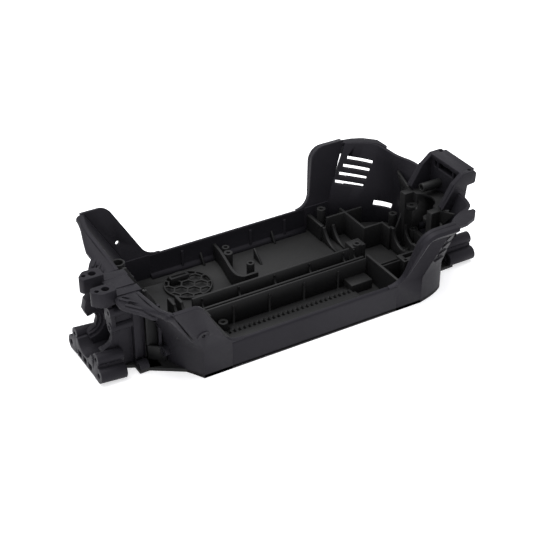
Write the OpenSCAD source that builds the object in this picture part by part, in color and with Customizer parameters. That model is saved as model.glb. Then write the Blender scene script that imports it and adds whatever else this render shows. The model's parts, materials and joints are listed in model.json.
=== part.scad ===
// Tub chassis of a small four-wheel-drive radio-controlled car, in millimetres.
// X runs from the front (-X) to the rear, Y from the left (-Y) to the right, Z up.
// The origin is on the underside, below the driveline, midway along the side walls.

/* [Tub] */
// Height of the side walls between the guards
rim_h = 17; // [16:0.5:18]
// Thickness of the floor pan
floor_t = 2; // [1.6:0.2:2.4]
// Thickness of the outer walls
wall_t = 2.5; // [2.2:0.1:2.8]
// Driveline to the outside of the left (battery) wall
left_w = 40.6; // [40:0.2:43]
// Driveline to the outside of the right (electronics) wall
right_w = 59.4; // [58.6:0.2:62]

/* [Guards] */
// Outward lean of the guards, in degrees
flare = 12.7; // [10:0.1:15]
// Height of the top of the guards
guard_h = 51; // [49:0.5:53]
// Thickness of the guard panels
guard_t = 2.2; // [1.8:0.1:2.6]
// Width of the flange round the rear guards
flange_w = 4.2; // [3:0.2:5]

/* [Driveline] */
// Half of the gap between the tunnel rails
tunnel_half = 5; // [4.6:0.1:5.4]
// Distance between driveshaft saddles
saddle_pitch = 23; // [21:0.5:24]
// Radius of the clearance over the driveshaft
shaft_r = 4.4; // [3.6:0.1:4.6]

/* [Battery bay] */
// Number of teeth on the battery-stop rack
rack_teeth = 27; // [20:1:28]
// Distance between rack teeth
rack_pitch = 3.06; // [2.8:0.02:3.1]

/* [Grille] */
// Radius of the round grille
grille_r = 14.2; // [12:0.1:15]
// Distance across one honeycomb cell, middle to middle
cell_pitch = 7.4; // [6:0.1:9]

/* [Suspension mounts] */
// Radius of the hinge-pin bores
pin_r = 1.5; // [1.2:0.05:1.6]
// Driveline to the lower hinge pins
pin_y = 17.6; // [17:0.1:18.5]
// Radius of the lower hinge-pin bosses
boss_r = 4.1; // [3.7:0.1:4.2]
// Radius of the screw holes
screw_r = 1.2; // [0.9:0.05:1.3]

/* [Tower] */
// Height of the top of the rear tower
tower_h = 58.5; // [56:0.5:60]
// Height of the top of the front ears
ear_h = 50.3; // [49:0.1:51]

/* [Hidden] */
$fn = 48;

shell = "#2b2a2e";      // lit outer skins
inner = "#242425";      // inside walls and ribs
pan = "#303032";        // floor

left = -1;
right = 1;
rib_t = 1.3;            // ordinary rib
straight = 52;          // half-length of the side walls between the guards
lip_r = 1.6;            // rounding of the rim's outer edge

front_corner = -68.6;   // where the side wall ends at the front wheel well
rear_corner = 69;       // and at the rear one
case_half = 12;         // half-width of the gear cases
front_nose = -118;      // front face of the front arm mount
rear_tail = 121.5;      // rear face of the rear arm mount

rack_x = -43.5;         // first rack tooth
grille_x = -37.5;
grille_y = 38.2;

slope_x = -53;          // foot of the front guard's rising edge
slope_run = 0.585;      // its run for each unit of rise
well_top_x = -88.3;     // top edge of the front wheel well
rear_top_x = 85;        // where the rear guard hands over to the well at the top
well_bow = 4;           // how far that edge bows forwards between the guards

front_pin_z = 5.4;      // lower front pin at the nose
front_kick = 5;         // rise of the front pins towards the nose, in degrees
rear_pin_z = 4.6;
upper_y = 13.4;         // upper pair of bosses
upper_front_z = 13;
upper_rear_z = 12.8;

ear_y = 8.3;
ear_screw_x = -111.5;
ear_socket_x = -106.8;
tower_y = 13.4;
tower_screw_x = 118.4;

// ---- helpers ----

function unit(v) = v / norm(v);
function mix(a, b, t) = a * (1 - t) + b * t;
function bez(a, b, c, d, t) =
    a * pow(1 - t, 3) + b * 3 * t * pow(1 - t, 2) + c * 3 * t * t * (1 - t) + d * pow(t, 3);

// Arc that rounds corner p between its neighbours a and b, as a list of points
function corner(a, p, b, r, n = 7) =
    r == 0 ? [p] :
    let (u = unit(a - p), v = unit(b - p), half = acos(u * v) / 2,
         c = p + unit(u + v) * r / sin(half),
         from = p + u * r / tan(half) - c, to = p + v * r / tan(half) - c,
         a0 = atan2(from.y, from.x), turn = atan2(to.y, to.x) - a0,
         sweep = turn > 180 ? turn - 360 : turn < -180 ? turn + 360 : turn)
    [for (i = [0 : n]) c + r * [cos(a0 + sweep * i / n), sin(a0 + sweep * i / n)]];

// Outline whose corners are [x, y, radius]
function rounded(q) =
    let (n = len(q), p = [for (c = q) [c[0], c[1]]])
    [for (i = [0 : n - 1]) each corner(p[(i + n - 1) % n], p[i], p[(i + 1) % n], q[i][2])];

// Runs its outline, drawn in X and Z, across Y from y0 to y1
module across(y0, y1) {
    translate([0, y1, 0]) rotate([90, 0, 0]) linear_extrude(y1 - y0) children();
}

// Runs its outline, drawn in Y and Z, along X from x0 to x1
module along(x0, x1) {
    translate([x0, 0, 0]) rotate([90, 0, 90]) linear_extrude(x1 - x0) children();
}

// Builds its children, made for the right, on the given side
module on_side(side) {
    if (side == left) mirror([0, 1, 0]) children();
    else children();
}

module both_sides() {
    children();
    mirror([0, 1, 0]) children();
}

// Closed skin between two grids of points of the same size
module skin(a, b) {
    rows = len(a);
    cols = len(a[0]);
    total = rows * cols;
    function at(i, j) = i * cols + j;
    rim = concat([for (j = [0 : cols - 1]) at(0, j)],
                 [for (i = [1 : rows - 1]) at(i, cols - 1)],
                 [for (j = [cols - 2 : -1 : 0]) at(rows - 1, j)],
                 [for (i = [rows - 2 : -1 : 1]) at(i, 0)]);
    n = len(rim);
    front = [for (i = [0 : rows - 2], j = [0 : cols - 2], half = [0, 1])
        half == 0 ? [at(i, j), at(i, j + 1), at(i + 1, j + 1)]
                  : [at(i, j), at(i + 1, j + 1), at(i + 1, j)]];
    back = [for (f = front) [f[2] + total, f[1] + total, f[0] + total]];
    side = [for (k = [0 : n - 1], half = [0, 1])
        let (p = rim[k], q = rim[(k + 1) % n])
        half == 0 ? [q, p, p + total] : [q, p + total, q + total]];
    polyhedron(points = concat([for (r = a) each r], [for (r = b) each r]),
               faces = concat(front, back, side));
}

// Lays a flat panel, drawn in X and up the slope, on the leaning plane of a guard
module leaning(w) {
    translate([0, w, rim_h]) rotate([90 - flare, 0, 0]) children();
}
function up_slope(z) = (z - rim_h) / cos(flare);
function lean_y(w, z) = w + (z - rim_h) * tan(flare);

// Chaikin's corner cutting: rounds an open path, keeping its ends
function soften(p, times = 1) =
    times == 0 ? p :
    soften(concat([p[0]],
                  [for (i = [0 : len(p) - 2]) each [mix(p[i], p[i + 1], 0.25), mix(p[i], p[i + 1], 0.75)]],
                  [p[len(p) - 1]]), times - 1);

// The open path moved sideways by d, to the right of the way it runs
function beside(p, d) =
    [for (i = [0 : len(p) - 1])
        let (v = unit(p[min(i + 1, len(p) - 1)] - p[max(i - 1, 0)])) p[i] + d * [v.y, -v.x]];

module post(x, y, z0, z1, r) {
    translate([x, y, z0]) difference() {
        cylinder(h = z1 - z0, r = r);
        translate([0, 0, z1 - z0 - 8]) cylinder(h = 9, r = screw_r);
    }
}

// Plate in the Y-Z plane with a round cut for a shaft or a can
module saddle(x, t, y0, y1, z1, cy, cz, r) {
    along(x, x + t) difference() {
        translate([y0, floor_t]) square([y1 - y0, z1 - floor_t]);
        translate([cy, cz]) circle(r);
    }
}

// ---- tub ----

function web_edge() = [[-85.9, 23.2], [-90.4, 20.2], [-96, 20.2], [-96, 14], [-100, 12]];
module floor_outline() {
    // the floor runs on a little way under the rear pin bosses
    boss_x = 107;
    boss_y = 20;
    left_front = concat([for (i = [0 : 4]) well_foot(left_w, i / 12)], web_edge());
    right_front = concat([for (i = [0 : 6]) well_foot(right_w, i / 12)], web_edge());
    left_rear = rear_foot(left_w);
    right_rear = rear_foot(right_w);
    polygon(concat(
        [for (q = left_rear) if (q.y > boss_y) [q.x, -q.y]],
        [[boss_x, -boss_y], [boss_x, boss_y]],
        [for (i = [len(right_rear) - 1 : -1 : 0]) if (right_rear[i].y > boss_y) right_rear[i]],
        right_front,
        [for (i = [len(left_front) - 1 : -1 : 0]) [left_front[i].x, -left_front[i].y]]));
}

module floor_pan() {
    color(pan) difference() {
        linear_extrude(floor_t) floor_outline();
        translate([grille_x, grille_y, 0.8]) cylinder(h = floor_t, r = grille_r - 1.2);
        for (p = [[-61.6, 48.7], [-61.6, -30], [12, 20], [12, -30], [62, -30]])
            translate([p.x, p.y, -1]) {
                cylinder(h = floor_t + 2, r = screw_r);
                cylinder(h = 2, r = 2.2);
            }
        for (x = [-84, 92], y = [-8, 8]) translate([x, y, -1]) {
            cylinder(h = floor_t + 2, r = screw_r);
            cylinder(h = 2, r = 2.2);
        }
    }
}

module side_wall(w) {
    foot_y = w - wall_t;
    fillet = 2.6;
    along(-straight, straight) {
        polygon(rounded([
            [foot_y, floor_t, 0], [foot_y, rim_h, 0.5], [w, rim_h, lip_r], [w, 0, 1], [foot_y - 1, 0, 0],
            [foot_y - 1, floor_t, 0]
        ]));
        polygon([[foot_y - fillet, floor_t], [foot_y + 0.3, floor_t], [foot_y + 0.3, floor_t + fillet],
                 [foot_y, floor_t + fillet]]);
    }
}
module left_side_wall() {
    color(shell) on_side(left) side_wall(left_w);
}
module right_side_wall() {
    color(shell) {
        side_wall(right_w);
        for (x = [-32.2, 13.3, 36.9])
            translate([x, right_w - wall_t - 1, floor_t]) cube([rib_t, 1.2, 12]);
    }
}

// ---- front guards, wheel wells and fenders ----

module guard_foot(w, x0, x1) {
    across(w - wall_t, w) polygon([[x0, 0], [x1, 0], [x1, rim_h + 0.4], [x0, rim_h + 0.4]]);
}

module front_guard(w) {
    top_x = slope_x - (guard_h - rim_h) * slope_run;
    guard_foot(w, front_corner, -straight);
    leaning(w) linear_extrude(guard_t) difference() {
        polygon(rounded([
            [front_corner, -0.5, 0], [-straight + 7, -0.5, 0], [-straight + 7, 0, 0], [slope_x, 0, 10.5],
            [top_x, up_slope(guard_h), 8], [well_top_x, up_slope(guard_h), 0.6]
        ]));
        translate([-69.8, up_slope(29)]) circle(screw_r);
    }
    // arched rim round the screw recess on the outside
    leaning(w) translate([-69.8, up_slope(29), -0.5]) linear_extrude(0.6) difference() {
        circle(3.6);
        circle(2.9);
        translate([-5, -5]) square([10, 4.5]);
    }
}
module left_front_guard() {
    color(shell) on_side(left) front_guard(left_w);
}
module right_front_guard() {
    color(shell) front_guard(right_w);
}

// Point on the front wheel well: u runs inwards from the guard, z is the height
function well_foot(w, u) =
    bez([front_corner, w], [-75, w - 12], [-79.5, 26], [-80, case_half], u);
function well_head_z(w, y) = 45.5 + 5.5 * (y - case_half) / (lean_y(w, guard_h) - case_half);
function front_well(w, u, t) =
    let (foot = well_foot(w, u),
         bow = well_bow * sin(90 * min(1, u / 0.35)),
         head = mix([well_top_x, lean_y(w, guard_h)], [well_top_x, case_half], u) - [bow, 0],
         top = well_head_z(w, head.y),
         z = t * top,
         lean = z < rim_h ? 0 : (z - rim_h) / (top - rim_h),
         p = mix(foot, head, lean))
    [p.x, p.y, z];

module front_wheel_well(w) {
    steps = [0, 0.18, rim_h / guard_h, 0.45, 0.56, 0.67, 0.78, 0.89, 1];
    outer = [for (t = steps) [for (i = [0 : 12]) front_well(w, 1 - i / 12, t)]];
    inside = [for (r = outer) [for (i = [0 : 12]) r[i] + [2.1, -0.9 * i / 12, 0]]];
    difference() {
        skin(outer, inside);
        // opening beside the gear case
        translate([-95, case_half + 1, 24]) cube([20, 5, 12]);
    }
    // boss and screw hole low on the wheel side, under an arched hood
    translate([-79.2, 19, 8.4]) rotate([0, -90, -12]) difference() {
        union() {
            cylinder(h = 3, r = 2.4);
            linear_extrude(3.4) difference() {
                circle(3.8);
                circle(3);
                translate([-5, -5]) square([5, 10]);
            }
        }
        translate([0, 0, -1]) cylinder(h = 6, r = screw_r);
    }
    // upright step in the sheet
    translate([-82.2, 14.6, floor_t]) rotate([0, 0, 6]) cube([1.6, 2, 34]);
}
module left_front_wheel_well() {
    color(shell) on_side(left) front_wheel_well(left_w);
}
module right_front_wheel_well() {
    color(shell) front_wheel_well(right_w);
}

// The fender's spine: up the guard's front edge, round its tip and inwards along the top of the well
function fender_spine(w) =
    let (tip = lean_y(w, guard_h), low = 27)
    soften([
        [-75.6, lean_y(w, low), low], [-80.2, lean_y(w, 35.5), 35.5], [-85, lean_y(w, 44.5), 44.5],
        [well_top_x + 0.6, tip - 0.4, guard_h - 0.2], [well_top_x + 0.4, tip - 6, guard_h - 0.5],
        [well_top_x - well_bow + 0.8, mix(tip, case_half, 0.45), 48.2],
        [well_top_x - well_bow + 1, 24, 46.8], [well_top_x - well_bow + 1.2, case_half, 45.6]
    ], 2);

module front_fender(w) {
    spine = fender_spine(w);
    n = len(spine) - 1;
    // forward reach, and the direction that the fold's back faces, along the spine
    reach = [for (i = [0 : n])
        let (y = spine[i].y, z = spine[i].z, inward = lean_y(w, guard_h) - y, turned = i > n * 0.42)
        turned ? 3.6 + 3.4 * pow(min(1, max(0, inward - 8) / 24), 1.6) : 0.7 + 3 * (z - 27) / 24];
    back = [for (i = [0 : n])
        let (t = min(1, max(0, (i / n - 0.3) / 0.2))) unit([0, 1 - t, t + 0.02])];
    front = [-1, 0, 0];
    function at(i, f, u) = spine[i] + f * front + u * back[i];
    top = [for (i = [0 : n]) let (r = reach[i], k = min(1, r / 3.4))
        [at(i, 0.1, -3.4 * k), at(i, 0, -1.3 * k), at(i, 0.5 * k, -0.3 * k), at(i, 1.5 * k, 0),
         at(i, 0.62 * r + 0.4 * k, -0.35 * k), at(i, r, -1.5 * k), at(i, r + 0.2 * k, -2.8 * k)]];
    under = [for (i = [0 : n]) let (r = reach[i], k = min(1, r / 3.4))
        [at(i, 1.9 * k, -3.5 * k), at(i, 1.9 * k, -3.2 * k), at(i, 2 * k, -2.9 * k), at(i, 2.1 * k, -2.6 * k),
         at(i, 0.6 * r + 0.5 * k, -2.7 * k), at(i, r - 0.9 * k, -3.3 * k), at(i, r - 0.7 * k, -4.1 * k)]];
    skin(under, top);
    // wide plate beside the gear case, with two slits under raised hoods
    slits = [[-99.9, 12.6], [-99.4, 19]];
    difference() {
        union() {
            translate([0, 0, 43.4]) linear_extrude(1.9) polygon(rounded([
                [-91.2, case_half - 1, 0], [-91.4, 38, 1], [-94.4, 36.6, 4], [-98.2, 29, 5], [-101, 25.5, 3],
                [-104.2, 20, 3], [-104.2, case_half - 1, 0]
            ]));
            for (s = slits)
                translate([s.x - 1.5, s.y + 0.9, 43.4]) rotate([0, 0, 53]) linear_extrude(2.8)
                    polygon(rounded([[0, 0, 0.8], [10.6, 0, 0.8], [10.6, 1.6, 0.8], [0, 1.6, 0.8]]));
        }
        for (s = slits)
            translate([s.x, s.y, 40]) rotate([0, 0, 53]) linear_extrude(8)
                polygon(rounded([[0, -1, 0.9], [10.6, -1, 0.9], [10.6, 1, 0.9], [0, 1, 0.9]]));
    }
}
module left_front_fender() {
    color(shell) on_side(left) front_fender(left_w);
}
module right_front_fender() {
    color(shell) front_fender(right_w);
}

// ---- rear guards and wheel wells ----

// Plan of the rear wheel well, from the guard inwards: its foot, and its top edge
function rear_foot(w) = soften(w == left_w
    ? [[rear_corner, w], [79, w - 2.6], [87.6, w - 6.8], [89.6, 30], [96, 21], [99, case_half + 2]]
    : [[rear_corner, w], [87, w - 10.2], [104.4, 39.6], [105.4, 30], [100.6, 20], [100, case_half + 2]], 2);
function rear_head(w) = soften(w == left_w
    ? [[83, lean_y(w, 50) - 0.4], [88, 42.6], [95, 38.8], [104, 35.6], [108.4, 27], [110.4, case_half + 4.5]]
    : [[rear_top_x, lean_y(w, 50) - 2], [101.4, 55.6], [102.8, 46], [104.2, 35.4], [108.8, 28],
       [110.4, case_half + 4.5]], 2);
function well_top(i, n) = guard_h - 0.8 - 3.4 * pow(i / n, 2);

module rear_guard(w) {
    edge = rear_guard_edge();
    guard_foot(w, straight, rear_corner);
    leaning(w) linear_extrude(guard_t) polygon(concat(
        [[rear_corner, -0.5], [edge[0].x, -0.5]], edge));
}
function rear_guard_edge() =
    let (foot_x = 55, crest_x = 62, top = up_slope(guard_h))
    concat(corner([45, 0], [foot_x, 0], [crest_x, top], 10, 9),
           corner([foot_x, 0], [crest_x, top], [rear_top_x, top], 10, 9), [[rear_top_x - 1, top]]);
module left_rear_guard() {
    color(shell) on_side(left) rear_guard(left_w);
}
module right_rear_guard() {
    color(shell) rear_guard(right_w);
}

// Swollen rim that turns outwards round the rear guard and runs on over the wheel
module rear_flange(w) {
    edge = rear_guard_edge();
    last = len(edge) - 1;
    level = [for (i = [0 : last])
        let (d = unit(edge[min(i + 1, last)] - edge[max(i - 1, 0)]), k = 0.12 + 0.88 * min(1, edge[i].y / 26))
        [edge[i], [d.y, -d.x], k]];
    // profile across the rim: [down from the edge, outwards]
    outer = [[8.2, -0.1], [5.6, 1.5], [3.2, 3.2], [1.4, flange_w]];
    inner = [[8.2, -1.2], [1.4, -1.9], [0.2, -1], [0, flange_w - 1.4]];
    function row(v, prof) = [for (q = prof) let (p = v[0] + q[0] * v[2] * v[1]) [p.x, p.y, -q[1] * v[2]]];
    leaning(w) skin([for (v = level) row(v, inner)], [for (v = level) row(v, outer)]);
    // shelf over the wheel
    near_side = w == left_w;
    tip = lean_y(w, guard_h) + 1.6;
    head = rear_head(w);
    shelf = near_side
        ? [[rear_top_x - 5, tip, 0], [91, tip - 0.8, 5], [98, tip - 3.6, 4], [102.8, tip - 9, 2],
           [102.6, head[9].y - 1, 0.6]]
        : [[rear_top_x - 5, tip, 0], [90.5, tip - 2, 4], [97, tip - 5, 4], [103.4, tip - 11.6, 3],
           [104, head[9].y - 1, 0.6]];
    translate([0, 0, guard_h - 3.1]) linear_extrude(2.4) polygon(concat(
        rounded(shelf),
        [for (i = [9 : -1 : 0]) [head[i].x - 0.4, head[i].y - 1.2]], [[rear_top_x - 5, tip - 3.4]]));
}
module left_rear_flange() {
    color(shell) on_side(left) rear_flange(left_w);
}
module right_rear_flange() {
    color(shell) rear_flange(right_w);
}

module rear_wheel_well(w) {
    thick = 1.9;
    foot = rear_foot(w);
    head = rear_head(w);
    n = len(foot) - 1;
    foot_in = beside(foot, thick);
    head_in = beside(head, thick);
    steps = [0, 0.25, 0.5, 0.75, 1];
    function column(a, b, i) = concat([[a[i].x, a[i].y, 0]],
        [for (t = steps) let (p = mix(a[i], b[i], t)) [p.x, p.y, mix(rim_h, well_top(i, n), t)]]);
    outer = [for (r = [0 : 5]) [for (i = [0 : n]) column(foot, head, i)[r]]];
    inside = [for (r = [0 : 5]) [for (i = [0 : n]) column(foot_in, head_in, i)[r]]];
    slot_dir = w == left_w ? -22 : atan2(-7.6, 13.5);
    slot_y = w == left_w ? 38 : 62;
    difference() {
        skin(outer, inside);
        for (k = [0 : 3])
            translate([85 - 2.8 * k, slot_y, 41.8 - 4.5 * k]) rotate([0, 0, slot_dir]) rotate([0, 9, 0])
                translate([0, -25, -1.1]) cube([15.6 + 0.6 * k, 40, 2.2]);
        if (w == right_w) translate([94, 45.4, 15.4]) rotate([0, 0, slot_dir]) rotate([0, 10, 0])
            translate([0, -8, -1.8]) cube([11.6, 16, 4]);
    }
    // louvre below each slot, on the wheel side
    for (k = [0 : 3]) {
        z = 39 - 4.5 * k;
        t = (z - rim_h) / (guard_h - rim_h);
        from = mix(foot[3], head[3], t);
        to = mix(foot[7], head[7], t);
        run = unit(to - from);
        translate([from.x, from.y, z]) rotate([0, 0, atan2(run.y, run.x)]) rotate([0, 9, 0])
            translate([0, -0.6, 0]) rotate([-12, 0, 0]) cube([min(15, norm(to - from)), 1.7, 1.2]);
    }
}
module left_rear_wheel_well() {
    color(shell) on_side(left) rear_wheel_well(left_w);
}
module right_rear_wheel_well() {
    color(shell) rear_wheel_well(right_w);
}

// ---- electronics bay ----

module cooling_grille() {
    web = 0.95;
    top = 3.7;
    row = cell_pitch * sin(60);
    color(pan) translate([grille_x, grille_y, 0]) {
        translate([0, 0, top - 1.1]) linear_extrude(1.1) difference() {
            circle(grille_r);
            for (i = [-3 : 3], j = [-3 : 3])
                translate([row * j, cell_pitch * (i + (j % 2 == 0 ? 0 : 0.5))])
                    circle(r = (cell_pitch - web) / 2 / cos(30), $fn = 6);
        }
        translate([0, 0, floor_t]) linear_extrude(top - floor_t) difference() {
            circle(grille_r);
            circle(grille_r - 0.9);
        }
    }
}

module wire_clip() {
    color(inner) translate([-45.6, 43.6, floor_t]) difference() {
        cube([12, 4.6, 4]);
        translate([1.4, 1.4, 1.4]) cube([9.2, 1.8, 4]);
    }
}

module electronics_divider() {
    path = [for (i = [0 : 12]) bez([-10.4, right_w - wall_t], [-10.4, 38], [-20, 20], [-11.5, 17.6], i / 12)];
    thick = 0.8;
    side_of = [for (i = [0 : 12])
        let (d = unit(path[min(i + 1, 12)] - path[max(i - 1, 0)])) thick * [-d.y, d.x]];
    color(inner) {
        translate([0, 0, floor_t]) linear_extrude(10) polygon(concat(
            [for (i = [0 : 12]) path[i] + side_of[i]],
            [for (i = [12 : -1 : 0]) path[i] - side_of[i]]));
        translate([-12.3, 16.8, floor_t]) cube([9, 1.6, 10]);
        post(-8.2, 43.5, floor_t, 12.4, 2.6);
        post(-6.6, 49.6, floor_t, 12.4, 2.2);
        post(-2.5, 27.4, floor_t, 12.4, 2.3);
    }
}

module floor_gussets() {
    color(inner) {
        translate([9.4, 36, 0]) along(0, rib_t) polygon([[0, floor_t], [9, floor_t], [9, 9]]);
        for (x = [-20, 28])
            translate([x, right_w - wall_t - 5, 0]) along(0, rib_t)
                polygon([[0, floor_t], [5, floor_t], [5, 9]]);
    }
}

// ---- driveline tunnel ----

module left_tunnel_rail() {
    color(inner) along(-50, 53) difference() {
        translate([-tunnel_half - 3.6, floor_t]) square([3.6, rim_h - floor_t]);
        translate([-tunnel_half - 2.4, rim_h - 5]) square([1.2, 6]);
    }
}
module right_tunnel_rail() {
    color(inner) along(-51.5, 50.5) translate([tunnel_half, floor_t]) square([1.4, rim_h - floor_t]);
}

module shaft_saddles() {
    color(inner) for (x = [-46.5 : saddle_pitch : 46])
        saddle(x, rib_t, -tunnel_half, tunnel_half, rim_h - 1, 0, rim_h - 2.6, shaft_r);
    color(inner) saddle(52.6, rib_t, -tunnel_half, tunnel_half, rim_h - 1, 0, rim_h - 2.6, shaft_r);
}

module tunnel_front_walls() {
    color(inner) for (x = [-63, -58.6])
        saddle(x, 1.8, -14, 13, rim_h, 0, rim_h + 1, 5.6);
    color(inner) translate([-51.5, -14, floor_t]) cube([1.6, 9, rim_h - floor_t]);
}

// ---- battery bay ----

module battery_front_wall() {
    color(inner) translate([-53.2, 0.2 - left_w + wall_t, floor_t]) cube([2.4, left_w - wall_t - 8.8, rim_h - floor_t]);
}

module battery_rear_wall() {
    color(inner) {
        translate([55, 0.2 - left_w + wall_t, floor_t]) cube([1.8, left_w - wall_t - 5.4, rim_h - floor_t]);
        for (y = [-20, -17.6]) translate([56.8, y, floor_t]) cube([12, 1, rim_h - floor_t]);
    }
}

module battery_ledge() {
    color(inner) {
        translate([-38, -14.6, floor_t]) cube([78, 6, 1.4]);
        translate([38, -17, floor_t]) cube([14, 8.4, 6]);
        for (x = [-34.5, -11.8, 10.6, 33.2]) translate([x, -9.4, floor_t]) cube([rib_t, 0.8, rim_h - 4]);
        post(-42.2, -12.4, floor_t, 9.6, 2.8);
    }
}

module battery_stop_rack() {
    len_x = rack_teeth * rack_pitch;
    color(inner) {
        translate([rack_x, -26, floor_t]) cube([len_x, 7, 3.4]);
        for (i = [0 : rack_teeth - 1])
            translate([rack_x + rack_pitch * i, -19, floor_t]) cube([rack_pitch / 2, 3.6, 3.4]);
        translate([rack_x, -16, floor_t]) cube([len_x, 1, 0.8]);
    }
}

// ---- posts and sockets ----

module screw_posts() {
    color(inner) {
        post(58.5, 48.5, floor_t, 19.6, 2.6);
        post(57.6, 8, floor_t, rim_h, 2.5);
        post(95.2, 25.6, floor_t, rim_h, 2.6);
        post(99, 9.5, floor_t, 13.6, 2.6);
        post(101.6, 15.4, 9.6, 26, 2.6);
    }
}

module body_post_sockets() {
    top = 34;
    // [side, x, y, bottom]
    places = [[left, -74.4, 30.4, 23], [right, -81, 34.8, 15]];
    color(inner) for (q = places) on_side(q[0]) translate([q[1], q[2], 0]) difference() {
        union() {
            translate([0, 0, q[3]]) cylinder(h = top - q[3], r = 3.8);
            // rib to the wheel well
            translate([-4.6, -0.7, q[3]]) cube([4, 1.4, top - q[3] - 1]);
        }
        translate([0, 0, q[3] + 3]) cylinder(h = top, r = 2.8);
    }
}

// ---- front end ----

module front_gear_case() {
    diff_x = -112;
    diff_z = 22.5;
    color(shell) {
        both_sides() {
            // bearing seat in three steps, each narrower than the last towards the outside
            for (ring = [[5, 6.6, 9], [6.6, 8.2, 7.4], [8.2, 11, 5.9]])
                across(ring[0], ring[1]) difference() {
                    polygon(rounded([
                        [-96, 2, 0], [-108, 2, 0], [-112.5, 14.5, 1], [-107, 18, 1], [-107, 40.8, 1],
                        [-103.6, 41.4, 0.5], [-102, 46, 1], [-88, 45.5, 0], [-88, 2, 0]
                    ]));
                    translate([diff_x, diff_z]) circle(ring[2]);
                    translate([-94, 10]) square([4, 10]);
                }
            // two bosses for the screws that hold the gear cover, and the block behind them
            for (z = [27.9, 37.1]) translate([-107.4, 11, z]) rotate([0, 90, 0]) difference() {
                cylinder(h = 13, r = 2.9);
                translate([0, 0, -1]) cylinder(h = 9, r = screw_r);
            }
            translate([-106.6, 8.4, 31]) cube([12, 4, 3.6]);
            translate([-95.4, 9.6, 6]) cube([4.4, 5, 32]);
            along(-107, -104.6) polygon(rounded([[5, 40, 0], [13.6, 40, 2], [13.6, 24.6, 2], [8.2, 24.6, 0]]));
        }
        // beak over the right bearing seat
        across(6.6, 11) polygon(rounded([[-106, 27.6, 0], [-112, 26, 1], [-113.4, 30, 1], [-112, 36, 1], [-106, 41, 0]]));
        difference() {
            translate([-99, -5.2, 2]) cube([3, 10.4, 42]);
            translate([-101, 0, diff_z - 4]) rotate([0, 90, 0]) cylinder(h = 8, r = 3.4);
        }
    }
}

module front_tower_ears() {
    low = ear_h - 8.4;
    color(shell) {
        both_sides() {
            difference() {
                translate([0, 0, low]) linear_extrude(ear_h - low) polygon(rounded([
                    [-101.6, 4.4, 1], [-101.6, 12, 2.2], [-110.6, 12.6, 4], [-115, 7.6, 2.4], [-113.4, 4.4, 1.4]
                ]));
                translate([ear_screw_x, ear_y, low - 1]) cylinder(h = 14, r = screw_r);
                translate([ear_socket_x, ear_y, low + 2]) cylinder(h = 10, r = 2.1);
            }
            // web down to the gear case
            translate([-105, 5, 38]) cube([3.4, 6, 5]);
        }
        translate([-109, -4.6, 39]) cube([7.4, 9.2, 5.4]);
        translate([-103, -4.6, 43]) cube([14, 9.2, 3]);
    }
}

module front_diff_cradle() {
    color(shell) difference() {
        along(front_nose, -100) polygon(rounded([
            [-10.6, 1.2, 0], [10.6, 1.2, 0], [10.6, 13, 0.8], [-10.6, 13, 0.8]
        ]));
        translate([front_nose - 1, 0, 16]) rotate([0, 90, 0]) cylinder(h = 16, r = 8.6);
        translate([-103, 0, 16]) sphere(r = 8.6);
        for (y = [-6.6, 0, 6.6]) translate([front_nose - 1, y, 4.2]) rotate([0, 90, 0])
            linear_extrude(4.4) polygon(rounded([[-1.8, -2.3, 0.5], [1.8, -1.6, 0.5], [1.8, 1.6, 0.5], [-1.8, 2.3, 0.5]]));
    }
}

// Stepped pair of hinge-pin bosses on the right, bored right through along X
module pin_bosses(x0, x1, z, upper_z, r) {
    difference() {
        union() {
            along(x0, x1) {
                translate([pin_y, z]) circle(r);
                translate([upper_y, upper_z]) circle(3.5);
                polygon([[10.6, z - r + 0.6], [pin_y, z - r], [upper_y + 2.6, upper_z - 2.4],
                         [upper_y - 2, upper_z + 2.8], [10.6, upper_z + 1]]);
            }
        }
        translate([x0 - 1, pin_y, z]) rotate([0, 90, 0]) cylinder(h = x1 - x0 + 2, r = pin_r);
        translate([x0 - 1, upper_y, upper_z]) rotate([0, 90, 0]) cylinder(h = 9, r = screw_r);
    }
}

module front_arm_mount() {
    color(shell) both_sides()
        translate([front_nose, 0, front_pin_z]) rotate([0, front_kick, 0]) translate([-front_nose, 0, -front_pin_z])
            pin_bosses(front_nose, -103.4, front_pin_z, upper_front_z, boss_r);
}

module front_pin_supports() {
    z = front_pin_z - (front_nose + 94) * -tan(front_kick);
    color(shell) both_sides() difference() {
        union() {
            translate([-95.4, pin_y, z]) rotate([0, 90, 0]) cylinder(h = 5, r = 3);
            translate([-95.4, case_half - 1, 0]) cube([5, pin_y - case_half + 1, 4.6]);
            linear_extrude(floor_t) polygon([[-90.4, 11], [-90.4, 20], [-84, 22], [-84, 11]]);
        }
        translate([-97, pin_y, z]) rotate([0, 90, 0]) cylinder(h = 5, r = pin_r);
    }
}

module front_gussets() {
    color(inner) both_sides() {
        across(case_half - 0.6, case_half + 1) polygon([[-88, 45], [-86, 45], [-64, floor_t], [-88, floor_t]]);
        translate([0, 0, floor_t]) linear_extrude(9) polygon([[-88, 12], [-80, 18], [-80, 19.4], [-88, 13.6]]);
    }
}

// ---- motor and gear area ----

module motor_bay_walls() {
    h = rim_h - floor_t;
    color(inner) translate([0, 0, floor_t]) {
        translate([53.6, 40.6, 0]) cube([2.4, right_w - wall_t - 40.4, 10.4]);
        translate([58, 41, 0]) cube([25, rib_t, h]);
        translate([70.4, 20, 0]) cube([rib_t, 27, h]);
        translate([70.4, 19.6, 0]) cube([14, rib_t, h]);
        translate([53.6, 6.4, 0]) cube([9, 8, h - 1.4]);
        translate([83.2, 12, 0]) cube([rib_t, 8, h]);
    }
}

module motor_cradle() {
    color(inner) for (x = [54.2, 60.6])
        saddle(x, 2, 14.4, 40.4, 12, 27, 16, 12.6);
}

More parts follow.
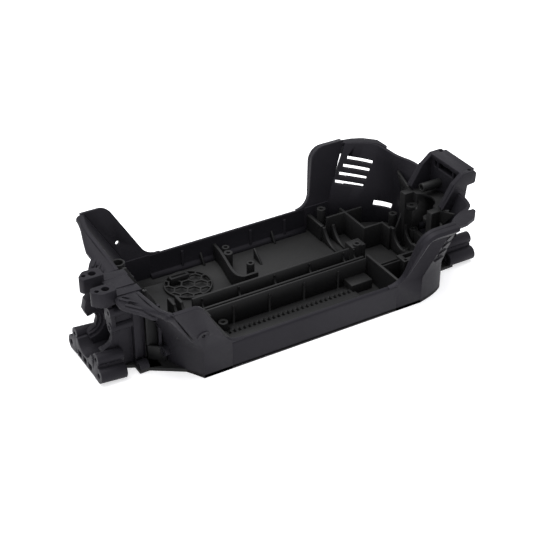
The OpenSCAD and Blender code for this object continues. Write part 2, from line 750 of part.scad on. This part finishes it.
module spur_cradle() {
    color(inner) for (x = [84.6, 93])
        saddle(x, 1.8, -13, 14, rim_h, 1, rim_h, 9.4);
    color(inner) translate([86.4, -13, floor_t]) cube([6.6, 1.6, 14]);
}

module rear_screw_box() {
    color(inner) difference() {
        translate([69.6, -22.6, floor_t]) cube([11.6, 8, rim_h - floor_t]);
        translate([72.4, -19.4, floor_t + 1]) cube([7.6, 3.4, rim_h]);
        translate([71.8, -21, rim_h - 8]) cylinder(h = 9, r = 0.9);
    }
}

// ---- rear end ----

module rear_gear_case() {
    top = 38;
    color(inner) {
        both_sides() {
            // block at the front corner, and the side plate behind it
            translate([92.2, 10.8, 2]) cube([6.4, 4.6, top - 2]);
            across(11, 13) polygon(rounded([
                [97, 1, 0], [113, 1, 0], [113.6, 20, 2], [113, top, 1], [97, top, 0]
            ]));
        }
        difference() {
            translate([110.6, -11.2, 1]) cube([2.4, 22.4, top - 1]);
            translate([108, 0, 21]) rotate([0, 90, 0]) cylinder(h = 8, r = 7.6);
        }
        translate([98, -11.2, 1]) cube([2.4, 22.4, 12]);
        // roof over the gears, cut back in a curve at the front
        translate([98.6, -11.2, top - 7]) difference() {
            cube([12.2, 22.4, 7]);
            translate([-3.4, 11.2, -1]) cylinder(h = 10, r = 8.8);
            translate([1.4, 1.6, -1]) cube([14, 19.2, 6.4]);
        }
        // ears for the screws that hold the gear cover
        for (y = [-8.4, 8.4]) translate([95.8, y, top - 9]) difference() {
            cylinder(h = 2.4, r = 3.2);
            translate([0, 0, -1]) cylinder(h = 5, r = screw_r);
        }
    }
}

module rear_arm_mount() {
    color(shell) {
        both_sides() pin_bosses(104, rear_tail, rear_pin_z, upper_rear_z, boss_r);
        translate([104, -10.8, 1]) cube([rear_tail - 104 - 1, 21.6, 9]);
    }
}

module rear_tower() {
    low = 36.4;
    block = 50.2;
    back = 122;
    color(shell) {
        // lower facet of each cheek, thicker where it meets the gear case
        both_sides() across(15.8, 17.4) polygon([[97.9, 39.8], [106, 52.4], [114.2, 46.2], [110.6, 37]]);
        difference() {
            union() {
                // cheeks
                both_sides() across(13.2, 16) polygon(rounded([
                    [97.6, 39.6, 1], [109.4, low, 1.5], [114.8, 40, 1.5], [116, block, 0.6], [back - 0.6, block + 0.4, 1.5],
                    [back, tower_h, 2.4], [112, tower_h, 1], [105.6, 53.2, 1]
                ]));
                // top plate, floor and end blocks of the box at the top
                translate([0, 0, tower_h - 2.6]) linear_extrude(2.6) polygon(rounded([
                    [111.6, -13.3, 0], [back, -13.3, 0], [back, 13.3, 0], [111.6, 13.3, 0]
                ]));
                translate([111.8, -13.3, block - 0.4]) cube([back - 112.8, 26.6, 1.8]);
                both_sides() translate([111.8, 10.2, block]) cube([back - 112.2, 3.1, tower_h - block - 1]);
                both_sides() translate([111.8, 6.6, block]) cube([2, 1.4, tower_h - block - 1]);
                translate([117.6, -10.4, block]) cube([2, 20.8, tower_h - block - 1]);
            }
            both_sides() translate([tower_screw_x, tower_y, tower_h - 7]) cylinder(h = 9, r = screw_r);
        }
        // wall below the box
        translate([111.8, -13.3, low + 1.4]) cube([1.8, 26.6, block - low - 1]);
    }
}

module rear_post_tube() {
    color(inner) translate([99, 4.6, 43.4]) rotate([0, 90, 0]) difference() {
        cylinder(h = 12.8, r = 2.7);
        translate([0, 0, -1]) cylinder(h = 9, r = 1.6);
    }
}

module rear_pin_supports() {
    color(shell) both_sides() difference() {
        union() {
            translate([90, pin_y, rear_pin_z]) rotate([0, 90, 0]) cylinder(h = 5, r = 3.4);
            translate([90, case_half, 0]) cube([5, pin_y - case_half, rear_pin_z]);
        }
        translate([91.6, pin_y, rear_pin_z]) rotate([0, 90, 0]) cylinder(h = 5, r = pin_r);
    }
}

module rear_gussets() {
    color(inner) {
        both_sides() across(13, 14.4) polygon([[84, floor_t], [93, floor_t], [93, 26]]);
        // web from the corner of the gear case to each wheel well
        for (side = [left, right]) {
            reach = side == left ? 12 : 20;
            on_side(side) translate([98.2, 12.6, 0]) rotate([0, 0, 78]) across(-0.7, 0.7)
                polygon([[0, 37.8], [0, 31], [reach - 6, 30.6], [reach + 1, 40.6]]);
        }
    }
}

floor_pan();
left_side_wall();
right_side_wall();
left_front_guard();
right_front_guard();
left_front_wheel_well();
right_front_wheel_well();
left_front_fender();
right_front_fender();
left_rear_guard();
right_rear_guard();
left_rear_flange();
right_rear_flange();
left_rear_wheel_well();
right_rear_wheel_well();
cooling_grille();
wire_clip();
left_tunnel_rail();
right_tunnel_rail();
shaft_saddles();
tunnel_front_walls();
battery_front_wall();
battery_rear_wall();
battery_ledge();
battery_stop_rack();
electronics_divider();
floor_gussets();
screw_posts();
body_post_sockets();
front_gear_case();
front_tower_ears();
front_diff_cradle();
front_arm_mount();
front_pin_supports();
front_gussets();
motor_bay_walls();
motor_cradle();
spur_cradle();
rear_screw_box();
rear_gear_case();
rear_arm_mount();
rear_tower();
rear_post_tube();
rear_pin_supports();
rear_gussets();
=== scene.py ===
import json
import math

import bpy
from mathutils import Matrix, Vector


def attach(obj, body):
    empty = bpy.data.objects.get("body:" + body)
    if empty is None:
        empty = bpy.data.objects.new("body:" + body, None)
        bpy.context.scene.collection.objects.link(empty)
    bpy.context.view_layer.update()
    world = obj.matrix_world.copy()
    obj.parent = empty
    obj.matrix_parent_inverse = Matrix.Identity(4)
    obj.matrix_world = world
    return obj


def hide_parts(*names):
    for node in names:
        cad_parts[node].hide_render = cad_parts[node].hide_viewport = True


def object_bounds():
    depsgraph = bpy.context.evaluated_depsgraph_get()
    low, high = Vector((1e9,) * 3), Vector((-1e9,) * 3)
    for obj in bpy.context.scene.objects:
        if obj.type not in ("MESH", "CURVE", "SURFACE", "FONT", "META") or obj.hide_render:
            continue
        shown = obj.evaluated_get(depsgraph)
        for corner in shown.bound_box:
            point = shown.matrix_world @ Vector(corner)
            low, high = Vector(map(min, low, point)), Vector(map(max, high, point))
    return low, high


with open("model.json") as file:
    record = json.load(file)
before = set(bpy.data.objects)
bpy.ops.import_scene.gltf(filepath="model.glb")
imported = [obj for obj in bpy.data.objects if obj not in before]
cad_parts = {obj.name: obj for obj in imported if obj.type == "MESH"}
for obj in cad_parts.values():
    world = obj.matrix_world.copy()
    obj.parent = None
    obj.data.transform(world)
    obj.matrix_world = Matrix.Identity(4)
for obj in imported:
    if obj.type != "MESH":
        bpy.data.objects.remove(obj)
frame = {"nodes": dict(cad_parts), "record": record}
CAD_LO, CAD_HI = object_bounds()
NODES = frame["nodes"]
SLOT_OF = {s["node"]: s["material_slot"] for s in frame["record"]["subparts"]}


# ---------- materials ----------

def node_tree(name):
    material = bpy.data.materials.new(name)
    material.use_nodes = True
    tree = material.node_tree
    tree.nodes.clear()
    return material, tree


def add(tree, kind, **values):
    made = tree.nodes.new(kind)
    for key, value in values.items():
        setattr(made, key, value)
    return made


def noise(tree, coords, scale, detail=4.0, rough=0.55):
    made = add(tree, "ShaderNodeTexNoise")
    made.inputs["Scale"].default_value = scale
    made.inputs["Detail"].default_value = detail
    made.inputs["Roughness"].default_value = rough
    tree.links.new(coords, made.inputs["Vector"])
    return made.outputs["Fac"]


def ramp(tree, value, stops):
    made = add(tree, "ShaderNodeValToRGB")
    points = made.color_ramp.elements
    while len(points) < len(stops):
        points.new(0.5)
    for point, (at, color) in zip(points, stops):
        point.position = at
        point.color = (*color, 1)
    tree.links.new(value, made.inputs["Fac"])
    return made.outputs["Color"]


def mixed(tree, share, a, b):
    made = add(tree, "ShaderNodeMix", data_type="RGBA")
    for socket, value in ((made.inputs[0], share), (made.inputs[6], a), (made.inputs[7], b)):
        if isinstance(value, bpy.types.NodeSocket):
            tree.links.new(value, socket)
        else:
            socket.default_value = value
    return made.outputs[2]


def moulded(name, base, edge_highlight, rough, grain, sheen, tint, edge=0.35):
    """Black moulded nylon: mottled colour, dull and shiny patches, a fine grain and rounded edges
    painted lighter as a highlight.
    """
    material, tree = node_tree(name)
    link = tree.links.new
    where = add(tree, "ShaderNodeTexCoord").outputs["Object"]
    broad = noise(tree, where, 28, 3)
    fine = noise(tree, where, 420, 5, 0.6)
    speck = noise(tree, where, 2600, 2, 0.5)
    shade = ramp(tree, broad, [(0.32, [c * 0.86 for c in base]), (0.68, [c * 1.14 for c in base])])

    # where a rounded normal differs from the true one there is an edge, and there the colour is painted
    # lighter, a painted highlight
    rounded = add(tree, "ShaderNodeBevel", samples=6)
    rounded.inputs["Radius"].default_value = 0.0005
    geometry = add(tree, "ShaderNodeNewGeometry")
    dot = add(tree, "ShaderNodeVectorMath", operation="DOT_PRODUCT")
    link(rounded.outputs["Normal"], dot.inputs[0])
    link(geometry.outputs["Normal"], dot.inputs[1])
    edge_highlight_mask = add(tree, "ShaderNodeMapRange")
    edge_highlight_mask.inputs["From Min"].default_value = 0.99
    edge_highlight_mask.inputs["From Max"].default_value = 0.8
    edge_highlight_mask.inputs["To Max"].default_value = edge
    link(dot.outputs["Value"], edge_highlight_mask.inputs["Value"])
    # mix the painted edge highlight colour into the mottled base
    color = mixed(tree, edge_highlight_mask.outputs["Result"], shade, (*edge_highlight, 1))

    surface = add(tree, "ShaderNodeBsdfPrincipled")
    link(color, surface.inputs["Base Color"])
    surface.inputs["IOR"].default_value = 1.5
    surface.inputs["Specular IOR Level"].default_value = sheen
    surface.inputs["Specular Tint"].default_value = (*tint, 1)
    gloss = add(tree, "ShaderNodeMapRange")
    gloss.inputs["To Min"].default_value = rough - 0.07
    gloss.inputs["To Max"].default_value = rough + 0.09
    link(fine, gloss.inputs["Value"])
    link(gloss.outputs["Result"], surface.inputs["Roughness"])

    height = add(tree, "ShaderNodeMath", operation="ADD")
    link(fine, height.inputs[0])
    link(speck, height.inputs[1])
    bump = add(tree, "ShaderNodeBump")
    bump.inputs["Strength"].default_value = grain
    bump.inputs["Distance"].default_value = 0.00004
    link(height.outputs["Value"], bump.inputs["Height"])
    link(rounded.outputs["Normal"], bump.inputs["Normal"])
    link(bump.outputs["Normal"], surface.inputs["Normal"])
    out = add(tree, "ShaderNodeOutputMaterial")
    link(surface.outputs["BSDF"], out.inputs["Surface"])
    return material


# the same black nylon in three copies whose base colours differ to stand in for light and shade: the
# floor is painted lighter, a painted light, and the shell and ribs darker, a painted shade; each row's
# second colour is the painted highlight on edges
MATERIAL = {
    "outer_shell": moulded("shell_nylon", (0.0086, 0.0083, 0.0102), (0.034, 0.032, 0.038), 0.52, 0.5,
                           0.13, (0.95, 0.9, 1.0)),
    "floor": moulded("floor_nylon", (0.0104, 0.0104, 0.0105), (0.03, 0.03, 0.03), 0.56, 0.7,
                     0.19, (1.0, 1.0, 1.0)),
    "inner_rib": moulded("rib_nylon", (0.0078, 0.0078, 0.008), (0.034, 0.034, 0.035), 0.5, 0.45,
                         0.17, (1.0, 1.0, 1.0)),
}


# ---------- pieces ----------

SEAM = 0.00001                     # points closer than this are one point
EDGE_WIDTH = 0.0003                # rounding of a moulded edge
EDGE_ANGLE = math.radians(32)      # a crease sharper than this is an edge


def finished(node):
    """A copy of a CAD node with its seams welded and its edges rounded, shown in its place."""
    source = NODES[node]
    piece = bpy.data.objects.new(node + "_moulding", source.data.copy())
    bpy.context.scene.collection.objects.link(piece)
    piece.data.materials.clear()
    piece.data.materials.append(MATERIAL[SLOT_OF[node]])
    weld = piece.modifiers.new("weld", "WELD")
    weld.merge_threshold = SEAM
    round_off = piece.modifiers.new("edges", "BEVEL")
    round_off.width = EDGE_WIDTH
    round_off.segments = 2
    round_off.limit_method = "ANGLE"
    round_off.angle_limit = EDGE_ANGLE
    round_off.use_clamp_overlap = True
    for face in piece.data.polygons:
        face.use_smooth = True
    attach(piece, "root")
    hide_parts(node)


for name in sorted(NODES):
    finished(name)


# ---------- stage, light and camera ----------

# a plain response, so that the pale sweep comes out white and the nylon stays charcoal
bpy.context.scene.view_settings.view_transform = "Standard"


def paper():
    material, tree = node_tree("pale_paper")
    where = add(tree, "ShaderNodeTexCoord").outputs["Object"]
    surface = add(tree, "ShaderNodeBsdfPrincipled")
    shade = ramp(tree, noise(tree, where, 3, 3), [(0.3, (0.80, 0.80, 0.81)), (0.7, (0.83, 0.83, 0.835))])
    tree.links.new(shade, surface.inputs["Base Color"])
    surface.inputs["Roughness"].default_value = 0.9
    # lit from beneath as well, like a product table, so that shadows almost vanish
    surface.inputs["Emission Color"].default_value = (1, 1, 1, 1)
    surface.inputs["Emission Strength"].default_value = 0.5
    out = add(tree, "ShaderNodeOutputMaterial")
    tree.links.new(surface.outputs["BSDF"], out.inputs["Surface"])
    return material


FLOOR_GAP = 0.0002                 # keeps the floor from touching the underside
bpy.ops.mesh.primitive_plane_add(size=12, location=(0, 0, CAD_LO.z - FLOOR_GAP))
studio_floor = bpy.context.object
studio_floor.name = "studio_floor"
studio_floor.data.materials.append(paper())

world = bpy.data.worlds.new("studio")
bpy.context.scene.world = world
world.use_nodes = True
world.node_tree.nodes["Background"].inputs["Color"].default_value = (0.97, 0.97, 1.0, 1)
world.node_tree.nodes["Background"].inputs["Strength"].default_value = 1.0


def softbox(name, at, size, power):
    data = bpy.data.lights.new(name, "AREA")
    data.shape = "RECTANGLE"
    data.size, data.size_y = size
    data.energy = power
    lamp = bpy.data.objects.new(name, data)
    bpy.context.scene.collection.objects.link(lamp)
    lamp.location = at
    lamp.rotation_euler = (Vector((0, 0, 0.02)) - Vector(at)).to_track_quat("-Z", "Y").to_euler()


softbox("overhead", (-0.1, 0.2, 1.3), (1.2, 1.2), 21)
softbox("near_side", (-0.5, -1.1, 0.7), (0.9, 0.6), 1.5)

YAW, PITCH = math.radians(30.515), math.radians(33.212)
AIM = Vector((-0.00674, -0.0075, 0.025))
AWAY = 0.7292                      # from the camera to the point it aims at
look = Vector((math.sin(YAW) * math.cos(PITCH), math.cos(YAW) * math.cos(PITCH), -math.sin(PITCH)))
lens = bpy.data.cameras.new("camera")
lens.sensor_width = 36
lens.lens = 87.14
lens.clip_start, lens.clip_end = 0.05, 30
camera = bpy.data.objects.new("camera", lens)
bpy.context.scene.collection.objects.link(camera)
camera.location = AIM - look * AWAY
camera.rotation_euler = look.to_track_quat("-Z", "Y").to_euler()
bpy.context.scene.camera = camera
